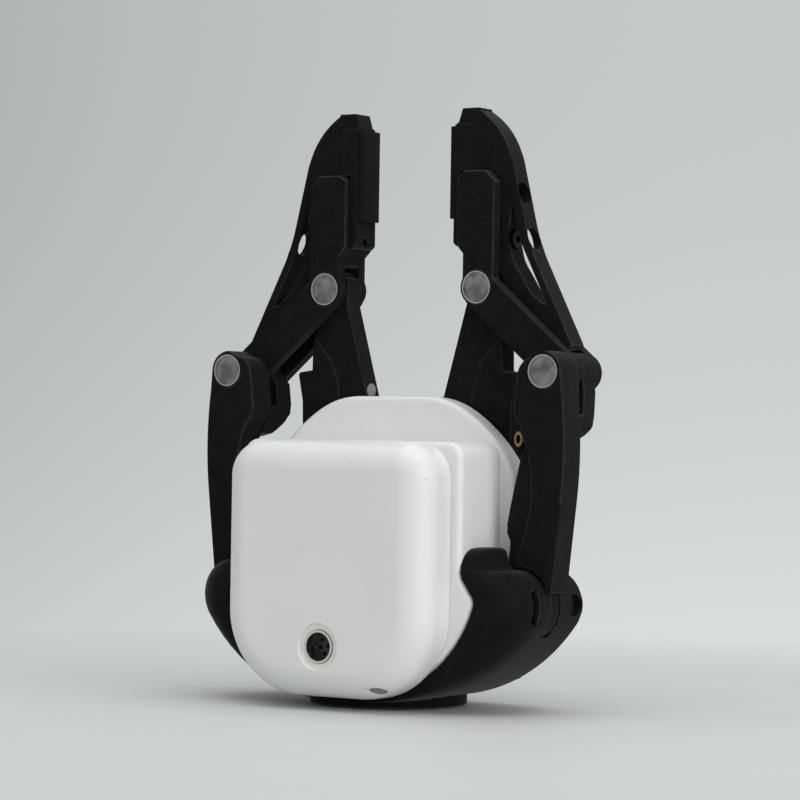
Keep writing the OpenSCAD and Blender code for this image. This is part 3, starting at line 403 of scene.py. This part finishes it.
def folds(work):
    """Ends and middles of the edges at which a mesh is open or folds over itself, as rows of points."""
    flat = work.copy()
    bmesh.ops.triangulate(flat, faces=flat.faces[:])
    points = []
    for edge in flat.edges:
        if len(edge.link_faces) != 2 or edge.calc_face_angle(0) > FOLDED:
            a, b = (v.co for v in edge.verts)
            points += [tuple(a), tuple(b), tuple((a + b) / 2)]
    flat.free()
    return np.array(points).reshape(-1, 3)


def passes(edge, points, distance):
    """Whether an edge runs within a distance of any of the points."""
    a, b = (np.array(v.co) for v in edge.verts)
    along = b - a
    t = np.clip((points - a) @ along / max(along @ along, 1e-18), 0, 1)
    return bool((np.linalg.norm(points - a - t[:, None] * along, axis=1) < distance).any())


def dress(node, radius=0.0, look=None, segments=2, sharp=SHARP):
    """A copy of one solid with its edges rounded by a radius in metres, but for those that would fold."""
    work = joined(node)
    before, kept_sharp = folds(work), np.zeros((0, 3))
    for _ in range(TRIES if radius else 0):
        edges = [e for e in work.edges if len(e.link_faces) == 2 and e.calc_face_angle(0) > sharp
                 and not passes(e, kept_sharp, 1.2 * radius)]
        made = bmesh.ops.bevel(work, geom=edges, offset=radius, segments=segments, profile=0.5,
                               affect="EDGES", clamp_overlap=False, loop_slide=False)
        # The new rounding faces are marked as strips, and the nylon finish paints its edge highlight, partly
        # wear, on them.
        layer = work.faces.layers.float["strip"]
        for face in made["faces"]:
            face[layer] = 1.0
        bmesh.ops.remove_doubles(work, verts=work.verts, dist=SAME_POINT)
        new = folds(work)
        if len(new) and len(before):
            new = new[np.linalg.norm(new[:, None] - before[None], axis=2).min(1) > radius / 2]
        if not len(new):
            break
        kept_sharp = np.concatenate([kept_sharp, new])
        work.free()
        work = joined(node)
    bmesh.ops.triangulate(work, faces=[f for f in work.faces if len(f.verts) > 4])
    mesh = bpy.data.meshes.new(node + "_skin")
    work.to_mesh(mesh)
    work.free()
    return own(node + "_look", mesh, [node], look)


COMPUTED = ("front_cover", "body_shell", "gear_case")
EDGE = {"outer_link": 0.4, "finger_fork": 0.4, "fingertip": 0.3, "link_cheek": 0.3, "grip_pad": 0.3,
        "geared_link": 0.2, "palm_shell": 0.3, "mount_plate": 0.3}
for node in sorted(nodes):
    kind = node.removesuffix("_right").removesuffix("_left")
    if kind not in COMPUTED:
        dress(node, EDGE.get(kind, 0.0) * MM, PIN_LOOK.get(kind))

# %% [markdown]
# ## The white housing as computed surfaces
#
# A paint finish shows every facet, so the three white covers are computed as smooth surfaces of the
# same shape as their solids. An outline is a closed run of arcs. A cover is a stack of such outlines,
# each at its own depth and drawn in by its own inset, and a rounded edge is a quarter circle of them.

# %% Outlines made of arcs
def arc(x, z, r, a0, a1, n=20):
    """Points (x + r cos t, z + r sin t), with t from a0 to a1 degrees in n steps."""
    t = np.radians(np.linspace(a0, a1, n + 1))
    return np.stack([x + r * np.cos(t), z + r * np.sin(t)], 1)


def mirrored(half):
    """The right half of an outline, followed by its mirror image in reverse order."""
    return np.concatenate([half, half[::-1] * (-1, 1)])


def split(outline, step):
    """Adds evenly spaced points on each edge of a closed outline that is longer than `step`."""
    after = np.roll(outline, -1, 0)
    parts = np.maximum(np.ceil(np.linalg.norm(after - outline, axis=1) / step), 1).astype(int)
    return np.concatenate([a + (b - a) * np.linspace(0, 1, k, endpoint=False)[:, None]
                           for a, b, k in zip(outline, after, parts)])


def at_depth(outline, y):
    """An X-Z outline as points of space at a depth y."""
    return np.stack([outline[:, 0], np.full(len(outline), y), outline[:, 1]], 1)


def drilled(mesh, x, z, radius, front, rear):
    """The mesh with a round hole along Y cut through it by an exact Boolean."""
    tool = bmesh.new()
    bmesh.ops.create_cone(tool, cap_ends=True, segments=48, radius1=radius, radius2=radius,
                          depth=rear - front)
    bmesh.ops.rotate(tool, verts=tool.verts, matrix=Matrix.Rotation(math.pi / 2, 3, "X"))
    bmesh.ops.translate(tool, verts=tool.verts, vec=(x, (front + rear) / 2, z))
    drill_mesh = bpy.data.meshes.new("drill")
    tool.to_mesh(drill_mesh)
    tool.free()
    blank, drill = (bpy.data.objects.new(n, m) for n, m in (("blank", mesh), ("drill", drill_mesh)))
    for item in (blank, drill):
        bpy.context.scene.collection.objects.link(item)
    cut = blank.modifiers.new("bore", "BOOLEAN")
    cut.operation, cut.solver, cut.object = "DIFFERENCE", "EXACT", drill
    result = bpy.data.meshes.new_from_object(blank.evaluated_get(bpy.context.evaluated_depsgraph_get()))
    for item in (blank, drill):
        bpy.data.objects.remove(item)
    bpy.data.meshes.remove(drill_mesh)
    bpy.data.meshes.remove(mesh)
    result.name = "drilled"
    return result


def skin(name, rings, closed, node, hole=None):
    """Quads between neighbouring rings, as a ring of rings where closed, else with a face at each end."""
    rings = np.array(rings)
    m, n = rings.shape[:2]
    i, j = np.meshgrid(np.arange(m if closed else m - 1), np.arange(n), indexing="ij")
    up, next_j = (i + 1) % m, (j + 1) % n
    quads = np.stack([i * n + j, up * n + j, up * n + next_j, i * n + next_j], -1).reshape(-1, 4)
    faces = quads.tolist()
    if not closed:
        faces += [list(range(n)), list(range(m * n - 1, (m - 1) * n - 1, -1))]
    mesh = bpy.data.meshes.new(name)
    mesh.from_pydata(rings.reshape(-1, 3).tolist(), [], faces)
    mesh.validate()
    print(name, len(mesh.vertices), "points in", m, "rings")
    if hole:
        mesh = drilled(mesh, *hole)
    return own(name, mesh, [node])


# %% [markdown]
# ### Front cover
#
# The face has a round dish with the connector's hole, close above its lower edge. Rays from the middle
# of that hole carry the points: each ray is followed outwards until it reaches a given distance from
# the outline, so every ring is a smooth step between the round hole and the square rim. The height of
# the face over that distance d is the quarter circle y = front + R (1 - sqrt(1 - (1 - d / R)^2)).

# %% Front cover
low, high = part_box("front_cover")
WIDE, FRONT, REAR, BOTTOM, TOP = high.x, low.y, high.y, low.z, high.z
LOW_R, TOP_R, ROUND, WALL = 0.0222, 0.0095, 0.008, 0.0022
LOW_X, LOW_Z, TOP_X, TOP_Z = WIDE - LOW_R, BOTTOM + LOW_R, WIDE - TOP_R, TOP - TOP_R
HOLE = np.array([0.0, (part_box("connector_shell")[0].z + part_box("connector_shell")[1].z) / 2])
HOLE_R, DISH_R, DISH = 0.00436, 0.006, 0.0008
FAR, HALVINGS = 0.12, 40


def cover_depth(p):
    """Distance inwards from the cover's outline at points (x, z)."""
    x, z = np.abs(p[:, 0]), p[:, 1]
    near_low = LOW_R - np.hypot(x - LOW_X, z - LOW_Z)
    near_top = TOP_R - np.hypot(x - TOP_X, z - TOP_Z)
    flat = np.minimum(WIDE - x, np.minimum(z - BOTTOM, TOP - z))
    upper = np.where((z > TOP_Z) & (x > TOP_X), near_top, flat)
    return np.where((z < LOW_Z) & (x > LOW_X), near_low, upper)


def reach(centre, way, depth):
    """Radius along each ray from the centre where cover_depth has fallen to `depth`, by halving."""
    near, far = np.zeros(len(way)), np.full(len(way), FAR)
    for _ in range(HALVINGS):
        mid = (near + far) / 2
        inside = cover_depth(centre + mid[:, None] * way) > depth
        near, far = np.where(inside, mid, near), np.where(inside, far, mid)
    return near


def cover_outline(inset):
    """Two arcs on the right, of radius LOW_R - inset and TOP_R - inset, and their mirror image."""
    return mirrored(np.concatenate([arc(LOW_X, LOW_Z, LOW_R - inset, -90, 0, 44),
                                    arc(TOP_X, TOP_Z, TOP_R - inset, 0, 90, 26)]))


def rounded_face(depth, front, radius):
    """Height y of a face whose edge is a quarter circle, at a distance inwards from the outline."""
    k = 1 - np.clip(depth / radius, 0, 1)
    return front + radius * (1 - np.sqrt(np.maximum(1 - k * k, 0)))


rim = split(cover_outline(0), 0.0012) - HOLE
way = rim / np.linalg.norm(rim, axis=1)[:, None]
steps = np.radians(np.linspace(0, 90, 15))
rings = []
for radius, y in ((HOLE_R, FRONT + WALL), (HOLE_R, FRONT + DISH + 0.0002), (HOLE_R + 0.00012, FRONT + DISH),
                  (DISH_R - 0.0003, FRONT + DISH), (DISH_R - 0.00005, FRONT + DISH - 0.00005),
                  (DISH_R, FRONT + DISH - 0.0003), (DISH_R, FRONT + 0.0003),
                  (DISH_R + 0.00008, FRONT + 0.00008)):
    rings.append(at_depth(HOLE + way * radius, y))
depths = np.concatenate([[0.013, 0.0115, 0.010, 0.009, 0.0084], ROUND * (1 - np.cos(steps[::-1]))])
for k, depth in enumerate(depths):
    floor_r = DISH_R + 0.0003 + 0.00012 * k
    at = HOLE + way * np.maximum(reach(HOLE, way, depth), floor_r)[:, None]
    ring = at_depth(at, 0.0)
    ring[:, 1] = rounded_face(cover_depth(at), FRONT, ROUND)
    rings.append(ring)
full = at_depth(rim + HOLE, 0.0)


def drawn(depth, y):
    """The outline at a distance `depth` inwards, as a ring at a depth y."""
    return at_depth(HOLE + way * reach(HOLE, way, depth)[:, None], y)


rings += [full + (0, y, 0) for y in np.linspace(FRONT + ROUND, REAR - 0.0004, 5)[1:]]
rings += [drawn(0.00012, REAR - 0.00012), drawn(0.0004, REAR), drawn(WALL, REAR)]
INNER = ROUND - WALL
rings += [drawn(WALL + INNER * (1 - math.cos(a)), FRONT + WALL + INNER * (1 - math.sin(a)))
          for a in steps[::2]]
skin("front_cover_look", rings, True, "front_cover")

# %% [markdown]
# ### Body shell
#
# Behind the cover the shell is a little wider, with a shoulder low on each side where it widens over
# the palm. It narrows again inside the palm, which shows in the solid as two steps: `hold` pulls the
# points of the rear rings into the palm's pocket.

# %% Body shell
low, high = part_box("body_shell")
BODY_TOP, BODY_FRONT, BODY_REAR, LIP = high.z, low.y, high.y, low.y + 0.004
BODY_W, BODY_LOW, CASE_LOW, POCKET, POCKET_LOW, EAR = 0.0343, low.z, 0.0385, 0.03245, 0.00915, -0.0081
BOWL_X, BOWL_R, HIP_Z, HIP_R, HOLLOW_R, CORNER_R = 0.005, 0.035, 0.0284, 0.0034, 0.0034, 0.0045
BODY_ROUND, BODY_WALL, OPENING = 0.0018, 0.0024, 0.007
BODY_MIDDLE = np.array([0, 0.036])


def body_outline(inset):
    """Lower bowl, shoulder, hollow and rounded top corner, each an arc drawn in by the inset."""
    low_z = BODY_LOW + BOWL_R
    hip = math.asin((HIP_Z - low_z) / (BOWL_R - HIP_R))
    side, turned = BODY_W - inset, math.degrees(hip)
    return mirrored(np.concatenate([
        arc(BOWL_X, low_z, BOWL_R - inset, -90, turned, 44),
        arc(BOWL_X + (BOWL_R - HIP_R) * math.cos(hip), HIP_Z, HIP_R - inset, turned + 5, 48, 12),
        arc(BODY_W + HOLLOW_R, HIP_Z + 0.008, HOLLOW_R + inset, 228, 180, 10),
        [[side, CASE_LOW - 1e-5], [side, CASE_LOW + 1e-5]],
        arc(BODY_W - CORNER_R, BODY_TOP - CORNER_R, CORNER_R - inset, 0, 90, 16)]))


def hold(ring, sides=False, inset=0.0):
    """Keeps a ring's points above the pocket's floor and, if `sides`, between its sides below the case."""
    ring = ring.copy()
    if sides:
        below = ring[:, 2] < CASE_LOW
        ring[below, 0] = np.clip(ring[below, 0], inset - POCKET, POCKET - inset)
    ring[:, 2] = np.maximum(ring[:, 2], POCKET_LOW + inset)
    return ring


outer = [at_depth(body_outline(BODY_ROUND * (1 - math.cos(a))), BODY_FRONT + BODY_ROUND * (1 - math.sin(a)))
         for a in np.radians(np.linspace(90, 0, 8))]
flat = at_depth(body_outline(0), 0.0)
toward = flat[:, [0, 2]] - BODY_MIDDLE
toward /= np.linalg.norm(toward, axis=1)[:, None]
opening = BODY_MIDDLE + toward * reach(BODY_MIDDLE, toward, OPENING)[:, None]
rings = [at_depth(opening, BODY_FRONT + BODY_WALL), at_depth(opening, BODY_FRONT),
         at_depth(body_outline(BODY_WALL), BODY_FRONT), *outer]
rings += [flat + (0, LIP, 0), hold(flat + (0, LIP, 0)), hold(flat + (0, EAR, 0)),
          hold(flat + (0, EAR, 0), sides=True), hold(flat + (0, BODY_REAR, 0), sides=True)]
inner = at_depth(body_outline(BODY_WALL), 0.0)
rings += [hold(inner + (0, BODY_REAR, 0), sides=True, inset=BODY_WALL),
          hold(inner + (0, BODY_FRONT + BODY_WALL, 0), sides=True, inset=BODY_WALL)]
skin("body_shell_look", rings, True, "body_shell")

# %% [markdown]
# ### Gear case
#
# The round disc between the body shell and the links carries the pins of the inner links. Its rim is
# rounded, its top is flat and its sides are cut narrow to clear the outer links when they close. A
# bore lets the pinion's shaft through.

# %% Gear case
low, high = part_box("gear_case")
CASE_TOP, CASE_FRONT, CASE_BACK, CASE_SIDE = high.z, low.y, high.y, high.x
CASE_R, CASE_Z, CASE_BLEND, FOOT_CORNER, SHAFT_R = 0.0446, 0.0395, 0.024, 0.0024, 0.0020
DRAWN_IN, FRONT_EDGE, REAR_EDGE, BORE_PLAY, OVERSHOOT = 0.00008, 0.0015, 0.0006, 0.0004, 0.001


def case_outline(inset):
    """Narrow foot, straight sides, round shoulders and a flat top, drawn in by the inset.

    A smooth arc bulges a little past the solid's chords, and the closed links pass close by, so the
    whole outline is drawn in by a further DRAWN_IN."""
    inset += DRAWN_IN
    top_z = CASE_TOP - CASE_BLEND
    lean = math.asin((top_z - CASE_Z) / (CASE_R - CASE_BLEND))
    side, r, foot = CASE_SIDE - inset, CASE_R - inset, POCKET - inset
    return mirrored(np.concatenate([
        [[foot - FOOT_CORNER, POCKET_LOW + inset], [foot, POCKET_LOW + FOOT_CORNER + inset],
         [foot, CASE_LOW + inset], [side, CASE_LOW + inset]],
        arc(0, CASE_Z, r, math.degrees(math.acos(side / r)), math.degrees(lean), 40),
        arc((CASE_R - CASE_BLEND) * math.cos(lean), top_z, CASE_BLEND - inset,
            math.degrees(lean) + 2, 90, 24)]))


rings = [at_depth(case_outline(FRONT_EDGE + 0.0003), CASE_FRONT)]
rings += [at_depth(case_outline(FRONT_EDGE * (1 - math.cos(a))), CASE_FRONT + FRONT_EDGE * (1 - math.sin(a)))
          for a in np.radians(np.linspace(90, 0, 8))]
rings += [at_depth(case_outline(REAR_EDGE * (1 - math.cos(a))), CASE_BACK - REAR_EDGE * (1 - math.sin(a)))
          for a in np.radians(np.linspace(0, 90, 4))]
low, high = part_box("drive_pinion")
BORE = ((low.x + high.x) / 2, (low.z + high.z) / 2, SHAFT_R + BORE_PLAY,
        CASE_FRONT - OVERSHOOT, CASE_BACK + OVERSHOOT)
skin("gear_case_look", rings, False, "gear_case", BORE)

# %% [markdown]
# ## Stage
#
# A pale floor fades out round the gripper into a pale backdrop, so no horizon cuts behind it. A shader
# that turns transparent with the distance from the middle does this without an edge.

# %% Floor
FADE_START, FADE_END, FLOOR_R, FLOOR_GAP = 0.12, 0.3, 1.2, 0.0003


def floor_material():
    """Pale floor that is solid up to FADE_START from the middle and clear from FADE_END on."""
    finish = Finish("floor", (0.62, 0.635, 0.63), 0.6)
    tree = finish.tree
    distance = tree.nodes.new("ShaderNodeVectorMath")
    distance.operation = "LENGTH"
    tree.links.new(finish.place, distance.inputs[0])
    fade = finish.between(distance.outputs["Value"], FADE_START, FADE_END)
    clear = tree.nodes.new("ShaderNodeBsdfTransparent")
    blend = tree.nodes.new("ShaderNodeMixShader")
    tree.links.new(fade, blend.inputs[0])
    tree.links.new(finish.shader.outputs[0], blend.inputs[1])
    tree.links.new(clear.outputs[0], blend.inputs[2])
    tree.links.new(blend.outputs[0], tree.nodes["Material Output"].inputs[0])
    return finish.material


bm = bmesh.new()
bmesh.ops.create_circle(bm, cap_ends=True, radius=FLOOR_R, segments=96)
floor_mesh = bpy.data.meshes.new("floor")
bm.to_mesh(floor_mesh)
bm.free()
floor = bpy.data.objects.new("floor", floor_mesh)
floor.location.z = -FLOOR_GAP
bpy.context.scene.collection.objects.link(floor)
floor_mesh.materials.append(floor_material())
print("floor of radius", FLOOR_R, "m, clear from", FADE_END, "m on")

# %% [markdown]
# The camera stands 33 degrees to the right of the front, about level with the gripper. A long lens from
# 0.8 m away keeps the perspective gentle, as in a catalogue view. The camera rolls by under a degree.

# %% Camera
TARGET, LENS, SENSOR = Vector((0.0008, 0.002, 0.0802)), 138.2, 36
AZIMUTH, ELEVATION, ROLL, DISTANCE = math.radians(33.0), math.radians(-0.56), math.radians(0.89), 0.8176
back = Vector((math.sin(AZIMUTH) * math.cos(ELEVATION), -math.cos(AZIMUTH) * math.cos(ELEVATION),
               math.sin(ELEVATION)))
camera = bpy.data.objects.new("camera", bpy.data.cameras.new("camera"))
camera.data.lens = LENS
camera.data.sensor_width = SENSOR
camera.data.clip_start = 0.05
camera.location = TARGET + back * DISTANCE
turn = (-back).to_track_quat("-Z", "Y").to_matrix().to_4x4()
roll = turn @ Matrix.Rotation(ROLL, 4, "Z")
camera.rotation_euler = roll.to_euler()
bpy.context.scene.collection.objects.link(camera)
bpy.context.scene.camera = camera
bpy.context.scene.view_settings.view_transform = "Standard"
print("camera", round(DISTANCE, 3), "m away with a lens of", LENS, "mm")

# %% [markdown]
# The backdrop is a smooth sheet, darkest at the upper left and brightest low on the right, just over
# the edge of the floor. Its brightness comes from the direction d of a ray: with r and u the camera's
# right and up, it is 0.435 + 0.12 (1 - (1 - a)^2) + 0.15 b^2, where a runs from 0 to 1 along d . r and
# b from 0 to 1 down along d . u. Further down it goes over to one even level. Only rays from the
# camera, which also pass through the clear part of the floor, and mirrored or refracted rays meet this
# sheet. The rest meet an even fill, so the gradient shows only directly and in reflections.

# %% Backdrop
DARKEST, ACROSS, DOWN, EVEN = 0.435, 0.12, 0.15, 0.61
world = bpy.data.worlds.new("studio")
bpy.context.scene.world = world
world.use_nodes = True
tree = world.node_tree


def step(kind, inputs, output=0, **settings):
    """Adds a node to the backdrop's graph; an input may be a value or another node's output."""
    node = tree.nodes.new(kind)
    for key, value in settings.items():
        setattr(node, key, value)
    for key, value in inputs.items():
        if isinstance(value, bpy.types.NodeSocket):
            tree.links.new(value, node.inputs[key])
        else:
            node.inputs[key].default_value = value
    return node.outputs[output]


def along(axis, start, end):
    """How far a ray's direction has gone from start to end along an axis, from 0 to 1."""
    toward = step("ShaderNodeVectorMath", {0: direction, 1: axis}, "Value", operation="DOT_PRODUCT")
    return step("ShaderNodeMapRange", {"Value": toward, "From Min": start, "From Max": end})


def sums(operation, a, b):
    """One step of arithmetic on two values."""
    return step("ShaderNodeMath", {0: a, 1: b}, operation=operation)


direction = step("ShaderNodeTexCoord", {}, "Generated")
right, up = tuple(roll.col[0][:3]), tuple(roll.col[1][:3])
half = SENSOR / 2 / camera.data.lens
left_over = sums("POWER", sums("SUBTRACT", 1.0, along(right, -half, half)), 2.0)
down = sums("POWER", along(up, half, -0.65 * half), 2.0)
level = sums("ADD", sums("MULTIPLY", left_over, -ACROSS), sums("MULTIPLY", down, DOWN))
level = sums("ADD", level, DARKEST + ACROSS)
below = along(up, -0.6 * half, -0.75 * half)
level = step("ShaderNodeMix", {0: below, 2: level, 3: EVEN}, data_type="FLOAT")
shade = step("ShaderNodeVectorMath", {0: (1.0, 1.055, 1.04), "Scale": level}, operation="SCALE")
seen = step("ShaderNodeBackground", {"Color": shade, "Strength": 1.0})
fill = step("ShaderNodeBackground", {"Color": (0.75, 0.78, 0.78, 1), "Strength": 0.55})
from_eye, mirrored_ray, through = (step("ShaderNodeLightPath", {}, kind) for kind in
                                   ("Is Camera Ray", "Is Glossy Ray", "Is Transmission Ray"))
either = sums("MAXIMUM", sums("MAXIMUM", from_eye, mirrored_ray), through)
blend = step("ShaderNodeMixShader", {0: either, 1: fill, 2: seen})
tree.links.new(blend, tree.nodes["World Output"].inputs[0])
print("backdrop of", len(tree.nodes), "nodes")

# %% [markdown]
# The lamps are large and soft: a broad one above, one on the right and a weak one in front on the
# left, at a level at which a colour comes out about as it is written.

# %% Lamps
def lamp(name, place, aim, size, watts):
    """A square soft lamp at a place, in metres, turned towards a point."""
    data = bpy.data.lights.new(name, "AREA")
    data.size, data.energy = size, watts
    item = bpy.data.objects.new(name, data)
    item.location = place
    item.rotation_euler = (Vector(aim) - Vector(place)).to_track_quat("-Z", "Y").to_euler()
    bpy.context.scene.collection.objects.link(item)
    print("lamp", name, watts, "W,", size, "m wide")


middle = (0, 0, 0.07)
lamp("above", (0.02, 0.0, 0.9), middle, 1.0, 5.0)
lamp("right_front", (0.9, -0.3, 0.3), middle, 0.7, 4.2)
lamp("left_front", (-0.4, -0.9, 0.3), middle, 0.8, 0.6)
